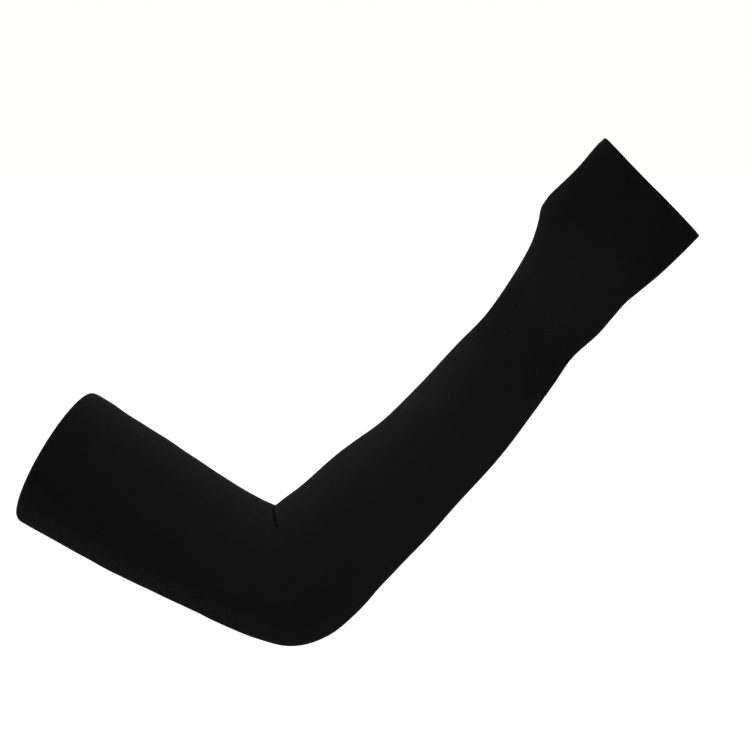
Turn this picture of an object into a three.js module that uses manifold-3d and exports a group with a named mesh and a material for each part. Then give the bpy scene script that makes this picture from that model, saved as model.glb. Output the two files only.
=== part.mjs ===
// A knitted arm sleeve in its worn, bent form: a turned cuff round the mouth, a plain tube that bends at
// the elbow, a ribbed wrist band, and a hand cover with a thumb hole.
// The sleeve lies in the XZ plane. The origin is the centre of its mouth, +X runs towards the hand
// cover and +Z is up. Lengths are in millimetres and angles in degrees.
import * as THREE from "three";
import { mergeVertices } from "three/addons/utils/BufferGeometryUtils.js";
import Module from "manifold-3d";

// The bend of the sleeve
const upperArmPitch = -32; // falls from the mouth to the elbow
const forearmPitch = 47; // climbs from the elbow to the hand cover
const upperArmLength = 139.5; // from the mouth to where the elbow starts to turn
const elbowLength = 62; // along the middle of the sleeve, round the turn
const sleeveLength = 518.6; // from the mouth to the finger rim, along the middle

// The zones of knit, as stations along the sleeve from the mouth
const cuffEnd = 26;
const wristStart = 370;
const wristEnd = 420;
const zoneGap = 0.3;

// Thickness of the knit, and how far a thicker zone stands proud of the plain tube
const plainWall = 1.2;
const cuffWall = 2.6; // two layers
const cuffProud = 0.4;
const cuffEdge = 0.6; // what is left of the cuff's thickness at the end of its rounded fold
const cuffRoundLength = 5;
const cuffRoundShares = [0, 0.08, 0.35, 1]; // where the rings of the rounded fold lie on its length
const ribWall = 1.6;
const ribProud = 0.2;

// How far the two open edges lean out past their middles
const mouthLeanFront = 2.3; // on the front of the sleeve
const fingerLeanFront = 2; // at the thumb hole
const fingerLeanSide = 1.2; // on the hand cover's -Y side
const leanLength = 26; // from each edge to where its rings are square to the sleeve again

// The fold inside the elbow: two lips pressed together
const creaseDepth = 10;
const creaseSpread = 4.5; // degrees of the turn, from the bottom of the fold to its lips
const creaseInnerSpread = 12; // the same on the inner face, which goes round both lips
const creaseReach = 72; // degrees round the sleeve, from the middle of the fold to where it fades
const creaseShift = 25; // degrees of the turn that the fold moves to the wrist on the sleeve's sides
const creaseShiftReach = 22; // degrees round the sleeve to where it has moved that far
const creaseShiftEnd = 130; // degrees round the sleeve to where the rings are square to it again

// The thumb hole in the front of the hand cover
const thumbHoleLength = 51;
const thumbHoleWidth = 20;
const thumbHoleStation = 492;
const thumbCutDepth = 26;

// Facets
const columnCount = 48;
const plainStep = 16; // between rings along a plain stretch
const elbowStep = 6; // between rings round the elbow
const handStep = 8; // between rings of the hand cover
const creaseSteps = [1.3, 2.6, 4.2, 6.2, 9]; // degrees to each side of the fold's bottom
const holeSegments = 12;

// Black knit: the plain tube catches a little more light than the double cuff and the ribs
const plainKnit = { color: 0x141415, roughness: 0.82 };
const cuffKnit = { color: 0x131314, roughness: 0.85 };
const ribKnit = { color: 0x101011, roughness: 0.9 };

// Sections of the sleeve. front and back are the two edges of the section in the XZ plane, measured
// from the line that the elbow turns on. depth is the size across that plane. square is 2 for an
// ellipse and more for a boxier section.
const sections = [
  { station: 0, front: 7.7, back: 105.2, depth: 90, square: 2 },
  { station: 26, front: 7.1, back: 103.5, depth: 89, square: 2 },
  { station: 55, front: 6.3, back: 101.1, depth: 87, square: 2 },
  { station: 81, front: 6.4, back: 98.2, depth: 86, square: 2 },
  { station: 111, front: 6, back: 93.6, depth: 84, square: 2 },
  { station: 131, front: 4.7, back: 90.5, depth: 82, square: 2 },
  { station: 139.5, front: 3.2, back: 89, depth: 81, square: 2 },
  { station: 149, front: 3, back: 88.4, depth: 80, square: 2 },
  { station: 160, front: 3, back: 91, depth: 79, square: 2 },
  { station: 171, front: 3, back: 95.5, depth: 78, square: 2 },
  { station: 182, front: 3, back: 94.5, depth: 78, square: 2 },
  { station: 192, front: 3, back: 91, depth: 79, square: 2 },
  { station: 201.5, front: 3.2, back: 89.1, depth: 79, square: 2 },
  { station: 223, front: 6.6, back: 88.8, depth: 78, square: 2 },
  { station: 255, front: 9.9, back: 89.1, depth: 75, square: 2 },
  { station: 290, front: 16.4, back: 88.2, depth: 70, square: 2 },
  { station: 315, front: 18, back: 88, depth: 66, square: 2 },
  { station: 338, front: 18.2, back: 86.6, depth: 61, square: 2 },
  { station: 362, front: 18.2, back: 83.7, depth: 54, square: 2.1 },
  { station: 385, front: 19, back: 80.6, depth: 47, square: 2.2 },
  { station: 404, front: 16.8, back: 77.8, depth: 43, square: 2.3 },
  { station: 427, front: 12.6, back: 79.6, depth: 40, square: 2.4 },
  { station: 441, front: 8.8, back: 79, depth: 39, square: 2.5 },
  { station: 454, front: 2.7, back: 78.7, depth: 38, square: 2.6 },
  { station: 461, front: -1.6, back: 79.6, depth: 37.5, square: 2.65 },
  { station: 468, front: -2.9, back: 80.5, depth: 37, square: 2.7 },
  { station: 484, front: -4, back: 82.3, depth: 36, square: 2.8 },
  { station: 500, front: -3.7, back: 83.2, depth: 35, square: 2.8 },
  { station: 518.6, front: -2.2, back: 83.6, depth: 34, square: 2.8 },
];

const sectionColumns = ["front", "back", "depth", "square"];
const sectionCurve = new THREE.CubicInterpolant(
  sections.map((row) => row.station),
  sections.flatMap((row) => sectionColumns.map((name) => row[name])),
  sectionColumns.length,
);

const sideways = new THREE.Vector3(0, -1, 0);
const elbowTurn = forearmPitch - upperArmPitch;
const elbowEnd = upperArmLength + elbowLength;
const mouthMiddle = (sections[0].front + sections[0].back) / 2;
const elbowPivot = alongAt(upperArmPitch)
  .multiplyScalar(upperArmLength)
  .addScaledVector(acrossAt(upperArmPitch), -mouthMiddle);

// Unit direction along the sleeve where it has this pitch.
function alongAt(pitch) {
  const angle = THREE.MathUtils.degToRad(pitch);
  return new THREE.Vector3(Math.cos(angle), 0, Math.sin(angle));
}

// Unit direction from the front edge of a section to its back edge.
function acrossAt(pitch) {
  return alongAt(pitch - 90);
}

// How far the elbow has turned at a station, in degrees.
function turnAt(station) {
  return THREE.MathUtils.clamp((station - upperArmLength) / elbowLength, 0, 1) * elbowTurn;
}

function stationOfTurn(turn) {
  return upperArmLength + (turn / elbowTurn) * elbowLength;
}

// How far round the sleeve an angle is from the front, on either side, in degrees.
function roundFromFront(angle) {
  return Math.abs(THREE.MathUtils.radToDeg(Math.atan2(Math.sin(angle), Math.cos(angle))));
}

// How far the elbow's fold has moved to the wrist, in degrees of the turn.
function creaseShiftAt(angle) {
  const { smoothstep } = THREE.MathUtils;
  const round = roundFromFront(angle);
  const moved = smoothstep(round, 0, creaseShiftReach);
  return creaseShift * moved * (1 - smoothstep(round, creaseReach, creaseShiftEnd));
}

// How deep the elbow's fold is at a station, at an angle round the sleeve from the front. Its tails
// run on past both ends of the elbow.
function creaseAt(station, angle, spread) {
  const turn = ((station - upperArmLength) / elbowLength) * elbowTurn;
  const fromBottom = (turn - elbowTurn / 2 - creaseShiftAt(angle)) / spread;
  const fade = Math.cos((Math.min(roundFromFront(angle) / creaseReach, 1) * Math.PI) / 2) ** 2;
  return creaseDepth * Math.exp(-fromBottom * fromBottom) * fade;
}

// A power that keeps the sign, for the boxier sections.
function rounded(value, square) {
  return Math.sign(value) * Math.abs(value) ** (2 / square);
}

// A point of the plain sleeve's outer face, with the elbow's fold or without it.
function facePoint(station, angle, folded) {
  const pitch = upperArmPitch + turnAt(station);
  const straight = station - THREE.MathUtils.clamp(station, upperArmLength, elbowEnd);
  const [front, back, depth, square] = sectionCurve.evaluate(station);
  const middle = (front + back) / 2;
  const half = (back - front) / 2;
  const fold = folded ? creaseAt(station, angle, creaseSpread) : 0;
  const inPlane = middle - half * rounded(Math.cos(angle), square) + fold;
  return elbowPivot
    .clone()
    .addScaledVector(alongAt(pitch), straight)
    .addScaledVector(acrossAt(pitch), inPlane)
    .addScaledVector(sideways, (depth / 2) * rounded(Math.sin(angle), square));
}

// The same point moved outwards along the face's normal.
function knitPoint(station, angle, outset, folded = true) {
  const stationStep = 0.05;
  const angleStep = 0.004;
  const at = (alongBy, roundBy) => facePoint(station + alongBy, angle + roundBy, folded);
  const lengthwise = at(stationStep, 0).sub(at(-stationStep, 0));
  const round = at(0, angleStep).sub(at(0, -angleStep));
  const normal = round.cross(lengthwise).normalize();
  return at(0, 0).addScaledVector(normal, outset);
}

// A point of the inner face. It goes round the elbow's fold in a wider bend, clear of the lips.
function innerPoint(station, angle, outset) {
  const fold = creaseAt(station, angle, creaseInnerSpread);
  const across = acrossAt(upperArmPitch + turnAt(station));
  return knitPoint(station, angle, outset, false).addScaledVector(across, fold);
}

// A station moved along the sleeve, so that the open edges lean and the rings follow the elbow's fold.
function leaningStation(station, angle) {
  const byMouth = 1 - Math.min(station / leanLength, 1);
  const byFingers = 1 - Math.min((sleeveLength - station) / leanLength, 1);
  const mouthLean = mouthLeanFront * Math.cos(angle);
  const fingerLean = fingerLeanFront * Math.cos(angle) + fingerLeanSide * Math.sin(angle);
  const byElbow = 1 - Math.abs((turnAt(station) / elbowTurn) * 2 - 1);
  const elbowLean = (creaseShiftAt(angle) / elbowTurn) * elbowLength;
  return station - mouthLean * byMouth + elbowLean * byElbow + fingerLean * byFingers;
}

function knitRing(station, outset, pointAt) {
  return Array.from({ length: columnCount }, (_, column) => {
    const angle = (column / columnCount) * 2 * Math.PI;
    return pointAt(leaningStation(station, angle), angle, outset);
  });
}

// A closed wall of knit: its outer rings one way, its inner rings back, and a rim at each end.
function knitWall(stations, outerOutset, innerOutset) {
  const outer = stations.map((station) => knitRing(station, outerOutset(station), knitPoint));
  const inner = stations.map((station) => knitRing(station, innerOutset, innerPoint));
  const rings = [...outer, ...inner.reverse()];
  const index = [];
  rings.forEach((_, row) => {
    const nextRow = (row + 1) % rings.length;
    for (let column = 0; column < columnCount; column++) {
      const nextColumn = (column + 1) % columnCount;
      const corners = [
        row * columnCount + column,
        row * columnCount + nextColumn,
        nextRow * columnCount + nextColumn,
        nextRow * columnCount + column,
      ];
      index.push(corners[0], corners[1], corners[2], corners[0], corners[2], corners[3]);
    }
  });
  const geometry = new THREE.BufferGeometry();
  const positions = rings.flat().flatMap((point) => point.toArray());
  geometry.setAttribute("position", new THREE.Float32BufferAttribute(positions, 3));
  geometry.setIndex(index);
  return geometry;
}

// Evenly spaced stations, both ends included.
function stationsBetween(start, end, step) {
  const count = Math.ceil((end - start) / step);
  return Array.from({ length: count + 1 }, (_, i) => start + ((end - start) * i) / count);
}

// The cuff, thick and folded, with a rounded edge at the mouth.
function upperCuff() {
  const roundStations = cuffRoundShares.map((share) => share * cuffRoundLength);
  const plainStations = stationsBetween(cuffRoundLength, cuffEnd - zoneGap, plainStep).slice(1);
  const outset = (station) => {
    const left = 1 - Math.min(station / cuffRoundLength, 1);
    return cuffProud - (cuffWall - cuffEdge) * (1 - Math.sqrt(1 - left * left));
  };
  return knitWall([...roundStations, ...plainStations], outset, cuffProud - cuffWall);
}

// The plain tube, with close rings where the elbow folds.
function armTube() {
  const foldMiddle = elbowTurn / 2;
  const foldTurns = creaseSteps.flatMap((turn) => [foldMiddle - turn, foldMiddle + turn]);
  const fold = [foldMiddle, ...foldTurns].map(stationOfTurn).sort((a, b) => a - b);
  const stations = [
    ...stationsBetween(cuffEnd, upperArmLength, plainStep),
    ...stationsBetween(upperArmLength, fold[0], elbowStep).slice(1),
    ...fold.slice(1, -1),
    ...stationsBetween(fold.at(-1), elbowEnd, elbowStep),
    ...stationsBetween(elbowEnd, wristStart, plainStep).slice(1),
  ];
  return knitWall(stations, () => 0, -plainWall);
}

function wristRib() {
  const stations = stationsBetween(wristStart + zoneGap, wristEnd, plainStep);
  return knitWall(stations, () => ribProud, ribProud - ribWall);
}

// A solid that can be cut, from a closed geometry.
function solidOf(wasm, geometry) {
  const bare = new THREE.BufferGeometry().setAttribute("position", geometry.getAttribute("position"));
  bare.setIndex(geometry.getIndex());
  const merged = mergeVertices(bare);
  const vertProperties = new Float32Array(merged.getAttribute("position").array);
  const triVerts = new Uint32Array(merged.getIndex().array);
  return new wasm.Manifold(new wasm.Mesh({ numProp: 3, vertProperties, triVerts }));
}

// The hand cover, with the thumb hole cut through its front edge.
function handCover(wasm) {
  const stations = stationsBetween(wristEnd + zoneGap, sleeveLength, handStep);
  const wall = knitWall(stations, () => 0, -plainWall);
  const outline = new THREE.Shape();
  outline.absellipse(0, 0, thumbHoleLength / 2, thumbHoleWidth / 2, 0, 2 * Math.PI);
  const cutter = new THREE.ExtrudeGeometry(outline, {
    depth: thumbCutDepth,
    bevelEnabled: false,
    curveSegments: holeSegments,
  });
  const along = alongAt(forearmPitch);
  const across = acrossAt(forearmPitch);
  const start = elbowPivot
    .clone()
    .addScaledVector(along, thumbHoleStation - elbowEnd)
    .addScaledVector(across, sectionCurve.evaluate(thumbHoleStation)[0] - thumbCutDepth / 2);
  cutter.applyMatrix4(new THREE.Matrix4().makeBasis(along, sideways, across).setPosition(start));
  const cut = solidOf(wasm, wall).subtract(solidOf(wasm, cutter)).getMesh();
  const geometry = new THREE.BufferGeometry();
  geometry.setAttribute("position", new THREE.BufferAttribute(cut.vertProperties, 3));
  geometry.setIndex(new THREE.BufferAttribute(cut.triVerts, 1));
  return geometry;
}

// One named piece in its knit.
function piece(name, geometry, knit) {
  geometry.computeVertexNormals();
  const material = new THREE.MeshStandardMaterial({ ...knit, metalness: 0 });
  const mesh = new THREE.Mesh(geometry, material);
  mesh.name = name;
  return mesh;
}

const wasm = await Module();
wasm.setup();

const sleeve = new THREE.Group();
sleeve.name = "arm_sleeve";
sleeve.add(piece("upper_cuff", upperCuff(), cuffKnit));
sleeve.add(piece("arm_tube", armTube(), plainKnit));
sleeve.add(piece("wrist_rib", wristRib(), ribKnit));
sleeve.add(piece("hand_cover", handCover(wasm), plainKnit));

export default sleeve;
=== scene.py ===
import math

import bpy
import numpy as np
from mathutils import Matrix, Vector


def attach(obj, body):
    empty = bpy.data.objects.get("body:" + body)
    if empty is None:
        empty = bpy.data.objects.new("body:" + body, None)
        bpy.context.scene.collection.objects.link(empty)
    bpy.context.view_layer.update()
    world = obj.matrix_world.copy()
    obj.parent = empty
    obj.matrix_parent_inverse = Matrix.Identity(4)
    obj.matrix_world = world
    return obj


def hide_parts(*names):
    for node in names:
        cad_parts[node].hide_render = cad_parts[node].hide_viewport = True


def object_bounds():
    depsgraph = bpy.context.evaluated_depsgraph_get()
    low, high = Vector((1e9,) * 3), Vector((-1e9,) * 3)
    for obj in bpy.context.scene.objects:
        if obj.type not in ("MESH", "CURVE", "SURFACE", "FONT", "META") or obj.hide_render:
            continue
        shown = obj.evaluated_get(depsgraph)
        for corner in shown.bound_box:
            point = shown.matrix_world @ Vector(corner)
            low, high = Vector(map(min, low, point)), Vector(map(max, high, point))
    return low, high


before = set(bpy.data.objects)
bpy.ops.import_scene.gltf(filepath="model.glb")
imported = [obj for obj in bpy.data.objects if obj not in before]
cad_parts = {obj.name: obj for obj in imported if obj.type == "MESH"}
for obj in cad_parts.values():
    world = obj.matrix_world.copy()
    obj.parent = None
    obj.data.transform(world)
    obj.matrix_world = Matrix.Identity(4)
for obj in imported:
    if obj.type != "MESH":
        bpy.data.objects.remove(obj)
cadLow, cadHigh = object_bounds()
mm = 0.001  # sizes below are in millimetres, and the scene is in metres
print("frame loaded with", ", ".join(sorted(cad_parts)))

# The form of the worn sleeve. Stations run along it from the mouth, and angles go round it from the
# front, which is the inside of the elbow and the thumb hole's side.
sleeveForm = {
    "upperArmPitch": -32.0,  # falls from the mouth to the elbow
    "forearmPitch": 47.0,  # climbs from the elbow to the hand cover
    "upperArmLength": 139.5,  # from the mouth to where the elbow starts to turn
    "elbowLength": 62.0,
    "sleeveLength": 518.6,
    "mouthLeanFront": 2.3,  # how far the open edges lean out past their middles
    "fingerLeanFront": 2.0,
    "fingerLeanSide": 1.2,
    "leanLength": 26.0,
    "creaseDepth": 10.0,  # the fold inside the elbow
    "creaseSpread": 4.5,  # degrees of the elbow's turn in which it fades to about a third
    "creaseInnerSpread": 12.0,  # on the inner face, which goes round both lips
    "creaseReach": 72.0,  # degrees round the sleeve to where the fold ends
    "creaseShift": 25.0,  # how far the fold turns to the wrist on the sleeve's sides
    "creaseShiftReach": 22.0,  # degrees round the sleeve to where it has turned that far
    "creaseShiftEnd": 130.0,  # where the rings are square to the sleeve again
}

# front and back are the edges of each section, measured from the line that the elbow turns on. depth is
# the size across, and square is 2 for an ellipse and more for a boxier section.
sleeveSections = np.array([
    # station, front, back, depth, square
    (0, 7.7, 105.2, 90, 2),
    (26, 7.1, 103.5, 89, 2),
    (55, 6.3, 101.1, 87, 2),
    (81, 6.4, 98.2, 86, 2),
    (111, 6, 93.6, 84, 2),
    (131, 4.7, 90.5, 82, 2),
    (139.5, 3.2, 89, 81, 2),
    (149, 3, 88.4, 80, 2),
    (160, 3, 91, 79, 2),
    (171, 3, 95.5, 78, 2),
    (182, 3, 94.5, 78, 2),
    (192, 3, 91, 79, 2),
    (201.5, 3.2, 89.1, 79, 2),
    (223, 6.6, 88.8, 78, 2),
    (255, 9.9, 89.1, 75, 2),
    (290, 16.4, 88.2, 70, 2),
    (315, 18, 88, 66, 2),
    (338, 18.2, 86.6, 61, 2),
    (362, 18.2, 83.7, 54, 2.1),
    (385, 19, 80.6, 47, 2.2),
    (404, 16.8, 77.8, 43, 2.3),
    (427, 12.6, 79.6, 40, 2.4),
    (441, 8.8, 79, 39, 2.5),
    (454, 2.7, 78.7, 38, 2.6),
    (461, -1.6, 79.6, 37.5, 2.65),
    (468, -2.9, 80.5, 37, 2.7),
    (484, -4, 82.3, 36, 2.8),
    (500, -3.7, 83.2, 35, 2.8),
    (518.6, -2.2, 83.6, 34, 2.8),
])
sectionKnots, sectionSizes = sleeveSections[:, 0], sleeveSections[:, 1:]
sectionSteps = np.diff(sectionSizes, axis=0) / np.diff(sectionKnots)[:, None]
sectionSlopes = np.vstack([sectionSteps[:1], (sectionSteps[1:] + sectionSteps[:-1]) / 2, sectionSteps[-1:]])
elbowEnd = sleeveForm["upperArmLength"] + sleeveForm["elbowLength"]
elbowTurn = sleeveForm["forearmPitch"] - sleeveForm["upperArmPitch"]

# Stations where the zones of knit meet, with a hair's gap between them
joins = {"cuffToTube": 26.0, "tubeToRib": 370.15, "ribToCover": 420.15}
joinGap = 0.02


def stopBefore(join):
    return joins[join] - joinGap / 2


def startAfter(join):
    return joins[join] + joinGap / 2


def alongAt(pitch):
    angle = np.radians(pitch)
    return np.stack([np.cos(angle), np.zeros_like(angle), np.sin(angle)], axis=-1)


def acrossAt(pitch):
    return alongAt(np.asarray(pitch) - 90.0)


mouthMiddle = (sectionSizes[0, 0] + sectionSizes[0, 1]) / 2
elbowPivot = (
    alongAt(sleeveForm["upperArmPitch"]) * sleeveForm["upperArmLength"]
    - acrossAt(sleeveForm["upperArmPitch"]) * mouthMiddle
)


# Cubic between the rows of sections, with each slope the mean of the two beside it
def sectionAt(station):
    station = np.clip(station, sectionKnots[0], sectionKnots[-1])
    row = np.clip(np.searchsorted(sectionKnots, station, side="right") - 1, 0, len(sectionKnots) - 2)
    gap = (sectionKnots[row + 1] - sectionKnots[row])[..., None]
    share = (station - sectionKnots[row])[..., None] / gap
    sizes = (
        (2 * share**3 - 3 * share**2 + 1) * sectionSizes[row]
        + (share**3 - 2 * share**2 + share) * gap * sectionSlopes[row]
        + (3 * share**2 - 2 * share**3) * sectionSizes[row + 1]
        + (share**3 - share**2) * gap * sectionSlopes[row + 1]
    )
    return np.moveaxis(sizes, -1, 0)  # front, back, depth, square


def rounded(value, square):
    return np.sign(value) * np.abs(value) ** (2 / square)


# How far a section's edge lies from its middle, towards the front and sideways
def sectionOutline(sizes, angle):
    front, back, depth, square = sizes
    towardsFront = (back - front) / 2 * rounded(np.cos(angle), square)
    sideways = depth / 2 * rounded(np.sin(angle), square)
    return towardsFront, sideways


# Degrees of the elbow's turn, run on past both ends of the elbow
def runOnTurn(station):
    return (station - sleeveForm["upperArmLength"]) / sleeveForm["elbowLength"] * elbowTurn


def turnAt(station):
    return np.clip(runOnTurn(station), 0, elbowTurn)


def stationOfTurn(turn):
    return sleeveForm["upperArmLength"] + np.asarray(turn) / elbowTurn * sleeveForm["elbowLength"]


def smoothShare(value, start, end):
    share = np.clip((value - start) / (end - start), 0, 1)
    return share**2 * (3 - 2 * share)


# How far the fold has turned to the wrist at each angle round the sleeve
def creaseTurn(angle):
    roundDegrees = np.abs(np.degrees(angle))
    out = smoothShare(roundDegrees, 0, sleeveForm["creaseShiftReach"])
    back = smoothShare(roundDegrees, sleeveForm["creaseReach"], sleeveForm["creaseShiftEnd"])
    return sleeveForm["creaseShift"] * out * (1 - back)


# The fold's depth. Its tails run on past both ends of the elbow.
def creaseAt(station, angle, spread):
    fromBottom = (runOnTurn(station) - elbowTurn / 2 - creaseTurn(angle)) / spread
    roundShare = np.minimum(np.abs(np.degrees(angle)) / sleeveForm["creaseReach"], 1)
    return sleeveForm["creaseDepth"] * np.exp(-(fromBottom**2)) * np.cos(roundShare * math.pi / 2) ** 2


# A point of the outer face, with the elbow's fold or without it
def facePoint(station, angle, folded):
    pitch = sleeveForm["upperArmPitch"] + turnAt(station)
    straight = station - np.clip(station, sleeveForm["upperArmLength"], elbowEnd)
    sizes = sectionAt(station)
    towardsFront, sideways = sectionOutline(sizes, angle)
    inPlane = (sizes[0] + sizes[1]) / 2 - towardsFront
    if folded:
        inPlane = inPlane + creaseAt(station, angle, sleeveForm["creaseSpread"])
    point = elbowPivot + alongAt(pitch) * straight[..., None] + acrossAt(pitch) * inPlane[..., None]
    point[..., 1] -= sideways
    return point


# The same point, moved along the face's normal
def knitPoint(station, angle, outset, folded=True, stationStep=0.05, angleStep=0.004):
    def at(alongBy, roundBy):
        return facePoint(station + alongBy, angle + roundBy, folded)

    lengthwise = at(stationStep, 0) - at(-stationStep, 0)
    roundwise = at(0, angleStep) - at(0, -angleStep)
    normal = np.cross(roundwise, lengthwise)
    normal /= np.linalg.norm(normal, axis=-1, keepdims=True)
    return at(0, 0) + normal * outset[..., None]


# A point of the inner face, which goes round the elbow's fold in a wider bend
def innerPoint(station, angle, outset):
    fold = creaseAt(station, angle, sleeveForm["creaseInnerSpread"])
    across = acrossAt(sleeveForm["upperArmPitch"] + turnAt(station))
    return knitPoint(station, angle, outset, folded=False) + across * fold[..., None]


def fingerLean(angle):
    return sleeveForm["fingerLeanFront"] * np.cos(angle) + sleeveForm["fingerLeanSide"] * np.sin(angle)


# Rings lean with the open edges, and with the fold at the elbow
def leaningStation(station, angle):
    byMouth = 1 - np.minimum(station / sleeveForm["leanLength"], 1)
    byFingers = 1 - np.minimum((sleeveForm["sleeveLength"] - station) / sleeveForm["leanLength"], 1)
    byElbow = 1 - np.minimum(np.abs(turnAt(station) / elbowTurn * 2 - 1), 1)
    atElbow = creaseTurn(angle) / elbowTurn * sleeveForm["elbowLength"] * byElbow
    atMouth = sleeveForm["mouthLeanFront"] * np.cos(angle) * byMouth
    return station - atMouth + atElbow + fingerLean(angle) * byFingers


# The knit: the same number of wales all the way, spread evenly round each section
knit = {
    "wales": 212,
    "coursePitch": 0.95,
    "sharpFrom": 70.0,  # degrees between faces, from which an edge is sharp
}


def runningLength(x, y):
    return np.concatenate([[0], np.cumsum(np.hypot(np.diff(x), np.diff(y)))])


# Length round a section from the front to each of the angles, as a share of half its girth
def girthShare(station, angle, samples=240):
    sizes = sectionAt(station)[..., None]

    def lengthTo(end):
        towardsFront, sideways = sectionOutline(sizes, end[..., None] * np.linspace(0, 1, samples))
        return np.hypot(np.diff(towardsFront), np.diff(sideways)).sum(axis=-1)

    return lengthTo(np.abs(angle)) / lengthTo(np.full_like(angle, math.pi)) * np.sign(angle)


# Angles of evenly spaced columns on each ring, from the back round by the front to the back
def columnAngles(stations, columns, samples=361):
    quarter = (1 - np.cos(np.linspace(0, math.pi, samples))) * math.pi / 4  # close steps at both ends
    sweep = np.concatenate([quarter, math.pi / 2 + quarter[1:]])
    shares = np.linspace(-1, 1, columns + 1)[:-1]
    sizes = sectionAt(stations)
    angles = np.empty((len(stations), columns))
    for ring in range(len(stations)):
        length = runningLength(*sectionOutline(sizes[:, ring], sweep))
        angles[ring] = np.sign(shares) * np.interp(np.abs(shares), length / length[-1], sweep)
    return angles


# A piece of cloth is gathered as points, quads and two maps: one in stitches and one for baking
def newCloth():
    return {"points": [], "quads": [], "knit": [], "bake": [], "finish": []}


def addPoints(cloth, points):
    first = sum(len(part) for part in cloth["points"])
    cloth["points"].append(points.reshape(-1, 3))
    return first + np.arange(points[..., 0].size).reshape(points.shape[:-1])


def cornersOf(grid):
    return np.stack([grid[:-1, :-1], grid[:-1, 1:], grid[1:, 1:], grid[1:, :-1]], axis=2)


# finish is the number of a material, for all the faces or for each row of them
def addQuads(cloth, index, knitMap, bakeMap, finish, keep=True):
    faces = (index.shape[0] - 1, index.shape[1] - 1)
    keep = np.broadcast_to(keep, faces)
    cloth["quads"].append(cornersOf(index)[keep])
    cloth["knit"].append(cornersOf(knitMap)[keep])
    cloth["bake"].append(cornersOf(bakeMap)[keep])
    cloth["finish"].append(np.broadcast_to(np.reshape(finish, (-1, 1)), faces)[keep])


def mapGrid(across, along):
    return np.stack(np.meshgrid(across, along), axis=-1)


outside, inside, bound = 0, 1, 2  # finishes of a piece, in the order of its materials
raised, level = 1, 0  # lifts of a row: the outer face takes the relief, the rim and the inner face don't


# A profile from rows of station, outset, lift and finish
def profileOf(*parts):
    rows = np.concatenate([np.column_stack(np.broadcast_arrays(*part)) for part in parts])
    return {"station": rows[:, 0], "outset": rows[:, 1], "lift": rows[:, 2], "finish": rows[:, 3]}


def evenStations(start, end, step):
    return np.linspace(start, end, int(math.ceil(abs(end - start) / step)) + 1)


# Rings of a closed profile. relief gives extra height, times the row's lift.
def addRings(cloth, profile, columns, relief, bakeTop=1.0, keep=True):
    station, outset = profile["station"], profile["outset"]
    angle = columnAngles(station, columns)
    place = leaningStation(station[:, None], angle)
    wale = np.linspace(-0.5, 0.5, columns + 1) * knit["wales"]
    height = outset[:, None] + profile["lift"][:, None] * relief(place, angle, wale[:-1])
    points = knitPoint(place, angle, height)
    inner = profile["lift"] == level
    points[inner] = innerPoint(place[inner], angle[inner], height[inner])
    index = addPoints(cloth, points)
    wrapped = np.pad(index, ((0, 1), (0, 1)), mode="wrap")
    length = runningLength(np.append(station, station[0]), np.append(outset, outset[0]))
    knitMap = mapGrid(wale, length / knit["coursePitch"])
    bakeMap = mapGrid(np.linspace(0, 1, columns + 1), length / length[-1] * bakeTop)
    addQuads(cloth, wrapped, knitMap, bakeMap, profile["finish"], keep)
    return {"index": index, "angle": angle, "place": place, "knitMap": knitMap}


def clothObject(name, cloth, materials):
    points = np.concatenate(cloth["points"]) * mm
    quads, knitMap, bakeMap = (np.concatenate(cloth[part]) for part in ("quads", "knit", "bake"))
    a, b, c, d = (points[quads[:, corner]] for corner in range(4))
    volume = (a * (np.cross(b, c) + np.cross(c, d))).sum() / 6
    if volume < 0:
        quads, knitMap, bakeMap = quads[:, ::-1], knitMap[:, ::-1], bakeMap[:, ::-1]
    mesh = bpy.data.meshes.new(name)
    mesh.from_pydata(points.tolist(), [], quads.tolist())
    for mapName, uv in (("knitMap", knitMap), ("OFBake", bakeMap)):
        layer = mesh.uv_layers.new(name=mapName)
        layer.data.foreach_set("uv", uv.astype(np.float32).ravel())
    for material in materials:
        mesh.materials.append(material)
    mesh.polygons.foreach_set("material_index", np.concatenate(cloth["finish"]).astype(np.int32))
    mesh.shade_smooth()
    mesh.set_sharp_from_angle(angle=math.radians(knit["sharpFrom"]))
    mesh.validate()
    mesh.update()
    piece = bpy.data.objects.new(name, mesh)
    bpy.context.scene.collection.objects.link(piece)
    print(name, "has", len(quads) * 2, "triangles")
    return piece


def placePiece(piece, node):
    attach(piece, "root")
    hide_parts(node)


# Soft unevenness that any worn knit has: waves along the sleeve, with turns of their own round it
worn = {
    "height": 0.16,
    "waves": [
        {"length": 61.0, "phase": 0.4, "turns": 2, "turnPhase": 0.68},
        {"length": 37.0, "phase": 2.1, "turns": 3, "turnPhase": 3.57},
        {"length": 23.0, "phase": 4.4, "turns": 5, "turnPhase": 7.48},
    ],
}


def unevenness(place, angle):
    waves = [
        np.sin(2 * math.pi * place / wave["length"] + wave["phase"])
        * np.cos(wave["turns"] * angle + wave["turnPhase"])
        for wave in worn["waves"]
    ]
    return worn["height"] * sum(waves) / len(waves)


# Nodes
def blankTree(owner):
    owner.use_nodes = True
    owner.node_tree.nodes.clear()
    return owner.node_tree


def addNode(tree, kind, values=None, **settings):
    made = tree.nodes.new(kind)
    for name, value in settings.items():
        setattr(made, name, value)
    for socket, value in (values or {}).items():
        if isinstance(value, bpy.types.NodeSocket):
            tree.links.new(value, made.inputs[socket])
        else:
            made.inputs[socket].default_value = value
    return made


def mathNode(tree, operation, first, second=None, third=None):
    values = {i: v for i, v in enumerate((first, second, third)) if v is not None}
    return addNode(tree, "ShaderNodeMath", values, operation=operation).outputs[0]


# A share from 0 to 1, spread over -1 to 1
def centred(tree, share):
    return mathNode(tree, "MULTIPLY_ADD", share, 2.0, -1.0)


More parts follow.
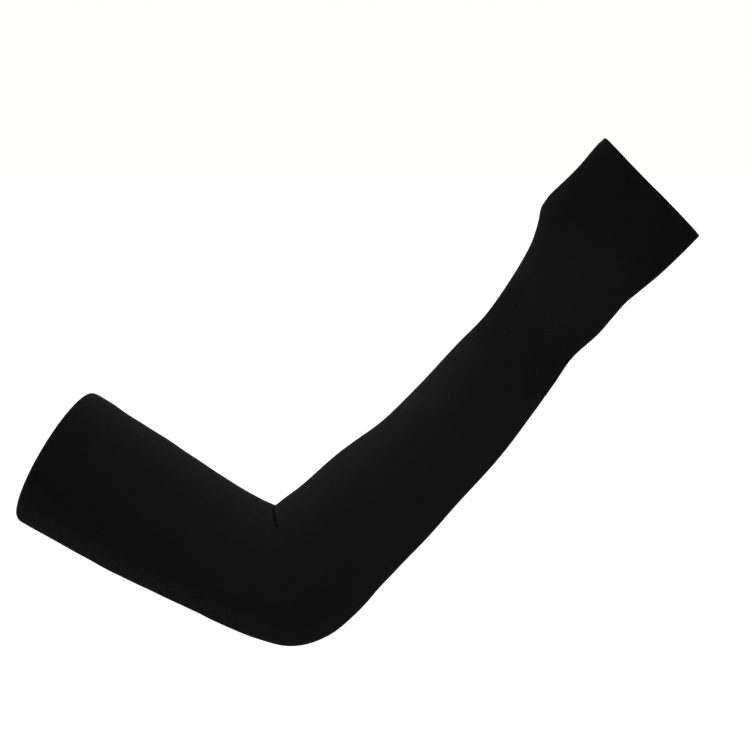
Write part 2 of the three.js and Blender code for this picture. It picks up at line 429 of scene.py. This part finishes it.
# A round hump, 1 at its middle and 0 at -1 and 1
def hump(tree, value):
    return mathNode(tree, "SUBTRACT", 1.0, mathNode(tree, "MULTIPLY", value, value))


def newGroup(name, inputs, outputs):
    tree = bpy.data.node_groups.new(name, "ShaderNodeTree")
    for socket, kind, value in inputs:
        made = tree.interface.new_socket(name=socket, in_out="INPUT", socket_type=kind)
        made.default_value = value
    for socket, kind in outputs:
        tree.interface.new_socket(name=socket, in_out="OUTPUT", socket_type=kind)
    return tree, tree.nodes.new("NodeGroupInput").outputs, tree.nodes.new("NodeGroupOutput").inputs


floatSocket, colourSocket = "NodeSocketFloat", "NodeSocketColor"
stitchInputs = [("Wale", floatSocket, 0.0), ("Course", floatSocket, 0.0)]
loopOutputs = [("Height", floatSocket), ("Gap", floatSocket)]

loopShape = {
    "lean": 0.9,  # courses that a leg climbs in a wale
    "legMiddle": 0.25,  # of a wale, from the middle of the loop
    "legSwell": 0.45,  # the share of a leg's height that comes and goes along it
    "archRise": 0.22,  # of a course, on the purl side
}


def putLoops(tree, result, height):
    tree.links.new(height, result["Height"])
    # Gap is high where the loops are low: the mask for the painted shade between the loops
    tree.links.new(mathNode(tree, "SUBTRACT", 1.0, height), result["Gap"])


# The right side of jersey: in each wale two legs of a loop that lean together in a V
def jerseyGroup():
    inputs = [*stitchInputs, ("Lean", floatSocket, loopShape["lean"])]
    tree, given, result = newGroup("jerseyLoops", inputs, loopOutputs)
    legMiddle, legSwell = loopShape["legMiddle"], loopShape["legSwell"]
    fromMiddle = mathNode(tree, "SUBTRACT", mathNode(tree, "FRACT", given["Wale"]), 0.5)
    aside = mathNode(tree, "ABSOLUTE", fromMiddle)
    fromLeg = mathNode(tree, "MULTIPLY", mathNode(tree, "SUBTRACT", aside, legMiddle), 1 / legMiddle)
    leaning = mathNode(tree, "MULTIPLY_ADD", aside, given["Lean"], given["Course"])
    alongLeg = centred(tree, mathNode(tree, "FRACT", leaning))
    swollen = mathNode(tree, "MULTIPLY_ADD", hump(tree, alongLeg), legSwell, 1 - legSwell)
    putLoops(tree, result, mathNode(tree, "MULTIPLY", hump(tree, fromLeg), swollen))
    return tree


# The wrong side: arches of yarn in rows across the wales
def purlGroup():
    tree, given, result = newGroup("purlArches", stitchInputs, loopOutputs)
    wave = mathNode(tree, "SINE", mathNode(tree, "MULTIPLY", given["Wale"], 2 * math.pi))
    arched = mathNode(tree, "MULTIPLY_ADD", wave, loopShape["archRise"], given["Course"])
    putLoops(tree, result, hump(tree, centred(tree, mathNode(tree, "FRACT", arched))))
    return tree


yarnNoise = {
    "streaks": {"lengthwise": 0.02, "scale": 0.55, "detail": 3.0},
    "mottle": {"lengthwise": 0.8, "scale": 0.07, "detail": 2.0},
    "darkest": 0.05,
    "streakGloss": 0.15,  # how much smoother a light streak is
}


# Colour of the yarn: streaks along the wales, a slow mottle, and painted shade that darkens the gaps
# between the loops
def yarnToneGroup():
    tree, given, result = newGroup(
        "yarnTone",
        [
            *stitchInputs,
            ("Gap", floatSocket, 0.0),
            ("Yarn", colourSocket, (0.01, 0.01, 0.01, 1.0)),
            ("Streaks", floatSocket, 0.2),
            ("Mottle", floatSocket, 0.2),
            ("Painted Gap Shade", floatSocket, 0.5),
            ("Roughness", floatSocket, 0.8),
        ],
        [("Colour", colourSocket), ("Roughness", floatSocket)],
    )
    turn = mathNode(tree, "MULTIPLY", given["Wale"], 2 * math.pi / knit["wales"])
    radius = knit["wales"] / (2 * math.pi)
    ringX = mathNode(tree, "MULTIPLY", mathNode(tree, "COSINE", turn), radius)
    ringY = mathNode(tree, "MULTIPLY", mathNode(tree, "SINE", turn), radius)

    def noise(lengthwise, scale, detail):
        height = mathNode(tree, "MULTIPLY", given["Course"], lengthwise)
        place = addNode(tree, "ShaderNodeCombineXYZ", {"X": ringX, "Y": ringY, "Z": height})
        texture = addNode(
            tree, "ShaderNodeTexNoise", {"Vector": place.outputs[0], "Scale": scale, "Detail": detail}
        )
        return centred(tree, texture.outputs["Fac"])

    streak = mathNode(tree, "MULTIPLY", noise(**yarnNoise["streaks"]), given["Streaks"])
    mottle = mathNode(tree, "MULTIPLY", noise(**yarnNoise["mottle"]), given["Mottle"])
    # Painted shade: the yarn's colour is darkened in the gaps between the loops
    shade = mathNode(tree, "MULTIPLY", given["Gap"], given["Painted Gap Shade"])
    uneven = mathNode(tree, "ADD", mathNode(tree, "ADD", streak, mottle), 1.0)
    tone = mathNode(tree, "MAXIMUM", mathNode(tree, "SUBTRACT", uneven, shade), yarnNoise["darkest"])
    colour = addNode(tree, "ShaderNodeVectorMath", {0: given["Yarn"]}, operation="SCALE")
    tree.links.new(tone, colour.inputs["Scale"])
    tree.links.new(colour.outputs[0], result["Colour"])
    rough = mathNode(tree, "MULTIPLY_ADD", streak, -yarnNoise["streakGloss"], given["Roughness"])
    tree.links.new(mathNode(tree, "MINIMUM", rough, 1.0), result["Roughness"])
    return tree


loopGroups = {"jersey": jerseyGroup(), "purl": purlGroup()}
yarnTone = yarnToneGroup()
print("node groups ready")


def knitMaterial(name, look):
    material = bpy.data.materials.new(name)
    tree = blankTree(material)
    stitches = addNode(tree, "ShaderNodeUVMap", uv_map="knitMap").outputs["UV"]
    axes = addNode(tree, "ShaderNodeSeparateXYZ", {0: stitches}).outputs
    wale = mathNode(tree, "MULTIPLY", axes["X"], look["loopsToAWale"])
    loops = addNode(
        tree, "ShaderNodeGroup", {"Wale": wale, "Course": axes["Y"]}, node_tree=loopGroups[look["loops"]]
    ).outputs
    tone = addNode(
        tree,
        "ShaderNodeGroup",
        {"Wale": axes["X"], "Course": axes["Y"], "Gap": loops["Gap"]},
        node_tree=yarnTone,
    )
    for socket in ("Yarn", "Streaks", "Mottle", "Painted Gap Shade", "Roughness"):
        tone.inputs[socket].default_value = look[socket]
    bump = addNode(
        tree,
        "ShaderNodeBump",
        {"Height": loops["Height"], "Strength": 1.0, "Distance": look["loopHeight"] * mm},
    )
    shader = addNode(
        tree,
        "ShaderNodeBsdfPrincipled",
        {
            "Base Color": tone.outputs["Colour"],
            "Roughness": tone.outputs["Roughness"],
            "Normal": bump.outputs["Normal"],
            "Specular IOR Level": look["specular"],
            "Sheen Weight": look["sheen"],
            "Sheen Roughness": look["sheenRoughness"],
            "Sheen Tint": look["sheenTint"],
        },
    )
    addNode(tree, "ShaderNodeOutputMaterial", {"Surface": shader.outputs[0]})
    return material


plainLook = {
    "loops": "jersey",
    "loopsToAWale": 1.0,
    "loopHeight": 0.16,
    "Yarn": (0.0062, 0.0062, 0.0063, 1.0),
    "Streaks": 0.1,
    "Mottle": 0.12,
    # how much painted shade darkens the gaps between the loops
    "Painted Gap Shade": 0.45,
    "Roughness": 0.78,
    "specular": 0.07,
    "sheen": 0.02,
    "sheenRoughness": 0.5,
    "sheenTint": (0.9, 0.93, 1.0, 1.0),
}
plainKnit = knitMaterial("plainKnit", plainLook)
insideKnit = knitMaterial("insideKnit", {**plainLook, "loops": "purl"})
cuffKnit = knitMaterial("cuffKnit", {**plainLook, "loopHeight": 0.18, "Streaks": 0.08})
# the rib and the bound edges darken the gaps between their loops with painted shade of their own
ribKnit = knitMaterial("ribKnit", {**plainLook, "loopsToAWale": 0.5, "loopHeight": 0.14, "Painted Gap Shade": 0.6})
edgeYarn = knitMaterial("edgeYarn", {**plainLook, "loops": "purl", "loopHeight": 0.2, "Painted Gap Shade": 0.3})
print("materials ready")

# The turned cuff: two layers of knit with a round fold at the mouth
cuff = {
    "wall": 2.6,
    "proud": 0.4,
    "foldLength": 5.0,
    "foldNose": -1.4,  # how far inside the plain face the fold's edge lies
    "foldRings": 13,
    "foldInside": 1.2,  # the fold's length on the inner face
    "foldInsideRings": 7,
    "easeStart": 12.0,  # where the outer layer starts to sink to the tube's face
    "joinDimple": 0.07,
    "joinWidth": 0.8,
    "step": 0.6,
    "innerStep": 3.0,
    "columns": 424,
    "flat": (0.235, 0.026),  # metres, with its two layers folded together
}


# The faint line where the cuff's second layer is caught down
def cuffJoin(place, angle):
    join = leaningStation(np.full_like(angle, joins["cuffToTube"]), angle)
    return -cuff["joinDimple"] * np.exp(-(((place - join) / cuff["joinWidth"]) ** 2))


def cuffRelief(place, angle, wale):
    return unevenness(place, angle) + cuffJoin(place, angle)


# Stations and outsets of the round fold, from its edge to a face of the cuff
def cuffFold(length, outset, turn):
    return length * (1 - np.cos(turn)), cuff["foldNose"] + (outset - cuff["foldNose"]) * np.sin(turn)


def makeCuff():
    innerOutset = cuff["proud"] - cuff["wall"]
    last = stopBefore("cuffToTube")
    outerTurn = np.radians(np.linspace(0, 90, cuff["foldRings"]))
    innerTurn = np.radians(np.linspace(90, 0, cuff["foldInsideRings"]))[1:-1]
    outerStations = evenStations(cuff["foldLength"], last, cuff["step"])[1:]
    ease = np.clip((outerStations - cuff["easeStart"]) / (last - cuff["easeStart"]), 0, 1)
    outerOutset = cuff["proud"] * (1 + np.cos(ease * math.pi)) / 2
    innerStations = evenStations(last, cuff["foldInside"], cuff["innerStep"])
    profile = profileOf(
        (*cuffFold(cuff["foldLength"], cuff["proud"], outerTurn), raised, outside),
        (outerStations, outerOutset, raised, outside),
        (innerStations, innerOutset, level, outside),
        (*cuffFold(cuff["foldInside"], innerOutset, innerTurn), level, outside),
    )
    cloth = newCloth()
    addRings(cloth, profile, cuff["columns"], cuffRelief)
    piece = clothObject("upper_cuff_knit", cloth, [cuffKnit])
    placePiece(piece, "upper_cuff")


# The plain tube from the cuff round the elbow to the wrist
tube = {
    "wall": 1.2,
    "step": 2.2,
    "foldStep": 0.45,  # degrees of the elbow's turn between rings near the fold
    "foldReach": 13.0,
    "innerStep": 7.0,
    "innerFoldStep": 2.0,
    "innerFoldReach": 30.0,
    "joinRings": (26.4, 26.8, 27.3, 28.0),  # close rings beside the cuff
    "columns": 340,
    "flat": (0.225, 0.33),  # metres
}

# Shallow folds that run out from the crook of the elbow on both sides
elbowFolds = [
    # from and to are degrees round the sleeve; turn and width are degrees of the elbow's turn
    {"from": 15, "to": 80, "turn": 52, "width": 6.0, "height": 0.4},
    {"from": 15, "to": 80, "turn": 79, "width": 6.0, "height": 0.4},
]


def elbowRelief(place, angle):
    turn = runOnTurn(place)
    roundDegrees = np.abs(np.degrees(angle))
    height = np.zeros_like(place)
    for fold in elbowFolds:
        share = np.clip((roundDegrees - fold["from"]) / (fold["to"] - fold["from"]), 0, 1)
        away = (turn - fold["turn"]) / fold["width"]
        height += fold["height"] * np.exp(-(away**2)) * np.sin(share * math.pi) ** 2
    return height


def tubeRelief(place, angle, wale):
    return unevenness(place, angle) + elbowRelief(place, angle) + cuffJoin(place, angle)


# Rings between two stations, with closer ones round the elbow's fold
def ringsWithFold(start, end, step, foldReach, foldStep):
    middle = elbowTurn / 2
    foldRings = stationOfTurn(evenStations(middle - foldReach, middle + foldReach, foldStep))
    before = evenStations(start, foldRings[0], step)[:-1]
    return np.concatenate([before, foldRings, evenStations(foldRings[-1], end, step)[1:]])


def makeTube():
    first, last = startAfter("cuffToTube"), stopBefore("tubeToRib")
    plainStart = tube["joinRings"][-1]
    outer = np.concatenate([
        [first, *tube["joinRings"][:-1]],
        ringsWithFold(plainStart, last, tube["step"], tube["foldReach"], tube["foldStep"]),
    ])
    inner = ringsWithFold(first, last, tube["innerStep"], tube["innerFoldReach"], tube["innerFoldStep"])
    profile = profileOf((outer, 0, raised, outside), (inner[::-1], -tube["wall"], level, inside))
    cloth = newCloth()
    addRings(cloth, profile, tube["columns"], tubeRelief)
    piece = clothObject("arm_tube_knit", cloth, [plainKnit, insideKnit])
    placePiece(piece, "arm_tube")


# The rib band round the wrist, with a real ridge for each pair of wales
rib = {
    "wall": 1.4,
    "depth": 0.3,
    "sunk": 0.75,  # the share of that depth below the plain face
    "ridgePower": 2.4,
    "fade": 9.0,  # where the ribs run out at both ends of the band
    "step": 0.9,
    "innerStep": 6.0,
    "columns": 848,
    "flat": (0.15, 0.048),  # metres
}


def ribRelief(place, angle, wale):
    across = np.abs(2 * np.mod(wale / 2, 1) - 1)
    ridge = 1 - across ** rib["ridgePower"]
    fromEnd = np.minimum(place - startAfter("tubeToRib"), stopBefore("ribToCover") - place)
    fade = np.clip(fromEnd / rib["fade"], 0, 1)
    return rib["depth"] * (ridge - rib["sunk"]) * fade + unevenness(place, angle)


def makeRib():
    first, last = startAfter("tubeToRib"), stopBefore("ribToCover")
    profile = profileOf(
        (evenStations(first, last, rib["step"]), 0, raised, outside),
        (evenStations(last, first, rib["innerStep"]), -rib["wall"], level, outside),
    )
    cloth = newCloth()
    addRings(cloth, profile, rib["columns"], ribRelief)
    piece = clothObject("wrist_rib_knit", cloth, [ribKnit])
    placePiece(piece, "wrist_rib")


# The hand cover, with the thumb hole and its bound edges
handCover = {
    "wall": 1.2,
    "step": 2.0,
    "holeStep": 1.3,
    "holeStation": 492.0,
    "holeLength": 51.0,
    "holeWidth": 20.0,
    "windowStart": 456.0,  # the stretch of rings that gives way to rings round the hole
    "windowEnd": 516.9,
    "windowColumns": 27,  # on each side of the front
    "holeShares": (0.2, 0.4, 0.6, 0.78, 0.92, 1.0),  # where those rings lie, from the window to the edge
    "edgeRadius": 0.7,  # of the bound edges
    "edgeWales": 0.35,  # from row to row of the hole's bound edge
    "edgeCourses": 0.6,  # along it, for each course of the plain knit
    "holeEdgeRows": 13,
    "rimEdgeRows": 15,
    "rimRows": 3,  # from the window to the rim's bound edge
    "columns": 424,
    "flat": (0.2, 0.095),  # metres
    "bakeTop": 0.86,  # the share of the bake's map below the rings round the hole
    "bakeGap": 0.01,
}
edgeTurn = math.asin(handCover["wall"] / 2 / handCover["edgeRadius"])  # where cloth and bound edge meet


def coverRelief(place, angle, wale):
    return unevenness(place, angle)


# The cover from the rib to the finger rim, round the rim's bound edge and back on the inner face
def coverProfile(below, window):
    radius, wall = handCover["edgeRadius"], handCover["wall"]
    rimMiddle = sleeveForm["sleeveLength"] - radius
    rimStart = rimMiddle - radius * math.cos(edgeTurn)
    above = np.linspace(handCover["windowEnd"], rimStart, handCover["rimRows"])[1:]
    rings = np.concatenate([below, window, above])
    turn = np.linspace(math.pi - edgeTurn, edgeTurn - math.pi, handCover["rimEdgeRows"])[1:-1]
    rim = (rimMiddle + radius * np.cos(turn), radius * np.sin(turn) - wall / 2, level, bound)
    profile = profileOf((rings, 0, raised, outside), rim, (rings[::-1], -wall, level, inside))
    profile["finish"][len(rings) - 1] = bound  # the first faces of the bound edge
    return profile


# Rows and columns of the points once round the window
def roundWindow(firstRow, lastRow, firstColumn, lastColumn):
    rows = np.arange(firstRow, lastRow)
    columns = np.arange(firstColumn, lastColumn)
    roundRows = np.concatenate([
        np.full(len(columns), firstRow), rows, np.full(len(columns), lastRow), rows[::-1] + 1,
    ])
    roundColumns = np.concatenate([
        columns, np.full(len(rows), lastColumn), columns[::-1] + 1, np.full(len(rows), firstColumn),
    ])
    return roundRows, roundColumns


# Points round the hole, as lengths along and across from its middle
def holeEdge(direction, outward):
    length, width = handCover["holeLength"], handCover["holeWidth"]
    x = length / 2 * np.cos(direction)
    y = width / 2 * np.sin(direction)
    normal = np.stack([np.cos(direction) / length, np.sin(direction) / width])
    normal /= np.linalg.norm(normal, axis=0)
    return x + normal[0] * outward, y + normal[1] * outward


def angleOfSideways(station, y):
    depth, square = sectionAt(station)[2:]
    return np.sign(y) * np.arcsin(np.clip(2 * np.abs(y) / depth, 0, 1) ** (square / 2))


def holeRing(x, y, outset):
    station = handCover["holeStation"] + x
    angle = angleOfSideways(station, y)
    height = np.full_like(x, outset)
    if outset == 0:
        height += unevenness(station, angle)
    return {"points": knitPoint(station, angle, height), "station": station, "angle": angle}


def closedMap(grid):
    return np.pad(grid, ((0, 0), (0, 1), (0, 0)), mode="wrap")


# Rings from the window to the hole, round its bound edge and back to the window on the inner face
def addHole(cloth, coverRings, rows, columns):
    radius, wall = handCover["edgeRadius"], handCover["wall"]
    place = coverRings["place"][rows, columns]
    windowX = place - handCover["holeStation"]
    windowY = sectionOutline(sectionAt(place), coverRings["angle"][rows, columns])[1]
    direction = np.arctan2(windowY / handCover["holeWidth"], windowX / handCover["holeLength"])
    meetX, meetY = holeEdge(direction, radius * math.cos(edgeTurn))

    def clothRing(share, outset):
        x = windowX + (meetX - windowX) * share
        y = windowY + (meetY - windowY) * share
        return holeRing(x, y, outset)

    outerRings = [clothRing(share, 0.0) for share in handCover["holeShares"]]
    innerRings = [clothRing(share, -wall) for share in handCover["holeShares"][::-1]]
    edgeRings = [
        holeRing(*holeEdge(direction, radius * math.cos(turn)), radius * math.sin(turn) - wall / 2)
        for turn in np.linspace(edgeTurn, 2 * math.pi - edgeTurn, handCover["holeEdgeRows"])[1:-1]
    ]
    innerRows = len(coverRings["place"]) - 1 - rows
    index = np.array([
        coverRings["index"][rows, columns],
        *[addPoints(cloth, ring["points"]) for ring in outerRings + edgeRings + innerRings],
        coverRings["index"][innerRows, columns],
    ])
    index = np.pad(index, ((0, 0), (0, 1)), mode="wrap")

    # Stitches follow the cover's own on the cloth, and run along the bound edge
    windowMap = coverRings["knitMap"][rows, columns]
    lengthAlong = coverRings["knitMap"][rows[0], 0, 1] * knit["coursePitch"] - handCover["windowStart"]

    def stitchRow(ring):
        wale = girthShare(ring["station"], ring["angle"]) * knit["wales"] / 2
        return np.stack([wale, (ring["station"] + lengthAlong) / knit["coursePitch"]], axis=-1)

    outerMap = np.array([windowMap, *[stitchRow(ring) for ring in outerRings]])
    innerMap = np.array([*[stitchRow(ring) for ring in innerRings], windowMap])
    edgeLength = runningLength(*holeEdge(np.append(direction, direction[0]), 0.0))
    edgeWales = np.arange(len(edgeRings) + 2) * handCover["edgeWales"]
    edgeMap = mapGrid(edgeWales, edgeLength / knit["coursePitch"] * handCover["edgeCourses"])
    bakeRows = np.linspace(handCover["bakeTop"] + handCover["bakeGap"], 1.0, index.shape[0])
    bakeMap = mapGrid(np.linspace(0, 1, index.shape[1]), bakeRows)
    edgeStart = len(outerRings)
    edgeEnd = edgeStart + len(edgeRings) + 1
    bands = [
        (slice(0, edgeStart + 1), closedMap(outerMap), outside),
        (slice(edgeStart, edgeEnd + 1), np.swapaxes(edgeMap, 0, 1), bound),
        (slice(edgeEnd, len(index)), closedMap(innerMap), inside),
    ]
    for band, knitMap, finish in bands:
        addQuads(cloth, index[band], knitMap, bakeMap[band], finish)


def makeHandCover():
    below = evenStations(startAfter("ribToCover"), handCover["windowStart"], handCover["step"])[:-1]
    window = evenStations(handCover["windowStart"], handCover["windowEnd"], handCover["holeStep"])
    profile = coverProfile(below, window)
    firstRow = len(below)
    lastRow = firstRow + len(window) - 1
    firstColumn = handCover["columns"] // 2 - handCover["windowColumns"]
    lastColumn = handCover["columns"] // 2 + handCover["windowColumns"]
    lastInnerRow = len(profile["station"]) - 1
    keep = np.ones((len(profile["station"]), handCover["columns"]), bool)
    keep[firstRow:lastRow, firstColumn:lastColumn] = False
    keep[lastInnerRow - lastRow:lastInnerRow - firstRow, firstColumn:lastColumn] = False
    cloth = newCloth()
    coverRings = addRings(cloth, profile, handCover["columns"], coverRelief, handCover["bakeTop"], keep)
    addHole(cloth, coverRings, *roundWindow(firstRow, lastRow, firstColumn, lastColumn))
    piece = clothObject("hand_cover_knit", cloth, [plainKnit, insideKnit, edgeYarn])
    placePiece(piece, "hand_cover")


makeCuff()
makeTube()
makeRib()
makeHandCover()
print("pieces ready")

# A white studio: a pale floor below the sleeve, soft light from above and from the front, and pools of
# light on the tube, on the hand cover, on the far side and into the mouth
studio = {
    "floorDrop": 160.0,  # below the elbow
    "floorHalf": 40.0,  # metres
    "floorDim": (0.3, 0.3, 0.3, 1.0),  # for light that bounces
    "floorPale": (0.9, 0.9, 0.89, 1.0),  # for the camera
    "floorGlow": 0.6,
    "white": (1.0, 1.0, 0.99, 1.0),
    "ambient": 0.36,
    "suns": {
        "top": {"comesFrom": (-0.05, 0.35, 1.0), "strength": 0.4, "angle": 60.0},
        "key": {"comesFrom": (-0.1, -0.75, 0.9), "strength": 0.65, "angle": 60.0},
    },
    "pools": {
        "tubePool": {
            "comesFrom": (400.0, -1500.0, 60.0),
            "shinesOn": (235.0, 0.0, 0.0),
            "power": 46.0,
            "cone": 22.0,
            "radius": 150.0,
        },
        "coverPool": {
            "comesFrom": (400.0, -1500.0, 200.0),
            "shinesOn": (351.0, -19.0, 114.0),
            "power": 22.0,
            "cone": 3.6,
            "radius": 15.0,
        },
        "backPool": {
            "comesFrom": (150.0, 1700.0, -150.0),
            "shinesOn": (200.0, 0.0, 40.0),
            "power": 38.0,
            "cone": 40.0,
            "radius": 150.0,
        },
        "mouthPool": {
            "comesFrom": (-1500.0, 150.0, 40.0),
            "shinesOn": (0.0, 0.0, 0.0),
            "power": 80.0,
            "cone": 3.8,
            "radius": 60.0,
        },
    },
}


# One shader for what the camera sees, and a dimmer one for light that bounces
def shadeBySight(tree, dim, seen, outputKind):
    cameraRay = addNode(tree, "ShaderNodeLightPath").outputs["Is Camera Ray"]
    mixed = addNode(tree, "ShaderNodeMixShader", {0: cameraRay, 1: dim.outputs[0], 2: seen.outputs[0]})
    addNode(tree, outputKind, {"Surface": mixed.outputs[0]})


def makeFloor():
    half = studio["floorHalf"]
    height = cadLow.z - studio["floorDrop"] * mm
    corners = [(-half, -half, height), (half, -half, height), (half, half, height), (-half, half, height)]
    mesh = bpy.data.meshes.new("floor")
    mesh.from_pydata(corners, [], [(0, 1, 2, 3)])
    material = bpy.data.materials.new("paleFloor")
    tree = blankTree(material)
    dim = addNode(tree, "ShaderNodeBsdfDiffuse", {"Color": studio["floorDim"]})
    pale = addNode(tree, "ShaderNodeBsdfDiffuse", {"Color": studio["floorPale"]})
    glow = addNode(tree, "ShaderNodeEmission", {"Color": studio["white"], "Strength": studio["floorGlow"]})
    lit = addNode(tree, "ShaderNodeAddShader", {0: pale.outputs[0], 1: glow.outputs[0]})
    shadeBySight(tree, dim, lit, "ShaderNodeOutputMaterial")
    mesh.materials.append(material)
    floor = bpy.data.objects.new("floor", mesh)
    bpy.context.scene.collection.objects.link(floor)


# A lamp whose light comes from this direction
def hangLamp(light, direction):
    lamp = bpy.data.objects.new(light.name, light)
    lamp.rotation_mode = "QUATERNION"
    lamp.rotation_quaternion = direction.to_track_quat("Z", "Y")
    bpy.context.scene.collection.objects.link(lamp)
    return lamp


def makeSun(name, comesFrom, strength, angle):
    light = bpy.data.lights.new(name, "SUN")
    light.energy = strength
    light.angle = math.radians(angle)
    hangLamp(light, Vector(comesFrom))


def makePool(name, comesFrom, shinesOn, power, cone, radius):
    light = bpy.data.lights.new(name, "SPOT")
    light.energy = power
    light.spot_size = math.radians(cone)
    light.spot_blend = 1.0
    light.shadow_soft_size = radius * mm
    lamp = hangLamp(light, Vector(comesFrom) - Vector(shinesOn))
    lamp.location = Vector(comesFrom) * mm
    lamp.visible_camera = False


def makeWorld():
    world = bpy.data.worlds.new("whiteStudio")
    tree = blankTree(world)
    dim = addNode(
        tree, "ShaderNodeBackground", {"Color": (1.0, 1.0, 1.0, 1.0), "Strength": studio["ambient"]}
    )
    white = addNode(tree, "ShaderNodeBackground", {"Color": studio["white"], "Strength": 1.0})
    shadeBySight(tree, dim, white, "ShaderNodeOutputWorld")
    bpy.context.scene.world = world


makeFloor()
for name, values in studio["suns"].items():
    makeSun(name, **values)
for name, values in studio["pools"].items():
    makePool(name, **values)
makeWorld()
bpy.context.scene.view_settings.view_transform = "Standard"
print("studio ready")

# The photograph's angle
viewpoint = {
    "azimuth": 13.0,
    "elevation": 4.0,
    "distance": 2200.0,
    "aim": (214.6, 4.2, 56.4),
    "lens": 164.0,
    "sensor": 36.0,
    "nearest": 0.05,  # metres
    "farthest": 200.0,  # metres
}


def makeCamera():
    azimuth, elevation = math.radians(viewpoint["azimuth"]), math.radians(viewpoint["elevation"])
    back = Vector((
        math.sin(azimuth) * math.cos(elevation),
        -math.cos(azimuth) * math.cos(elevation),
        math.sin(elevation),
    ))
    data = bpy.data.cameras.new("camera")
    data.lens = viewpoint["lens"]
    data.sensor_width = viewpoint["sensor"]
    data.clip_start = viewpoint["nearest"]
    data.clip_end = viewpoint["farthest"]
    camera = bpy.data.objects.new("camera", data)
    camera.location = (Vector(viewpoint["aim"]) + back * viewpoint["distance"]) * mm
    camera.rotation_mode = "QUATERNION"
    camera.rotation_quaternion = back.to_track_quat("Z", "Y")
    bpy.context.scene.collection.objects.link(camera)
    bpy.context.scene.camera = camera


makeCamera()
print("camera ready")

bpy.context.view_layer.update()
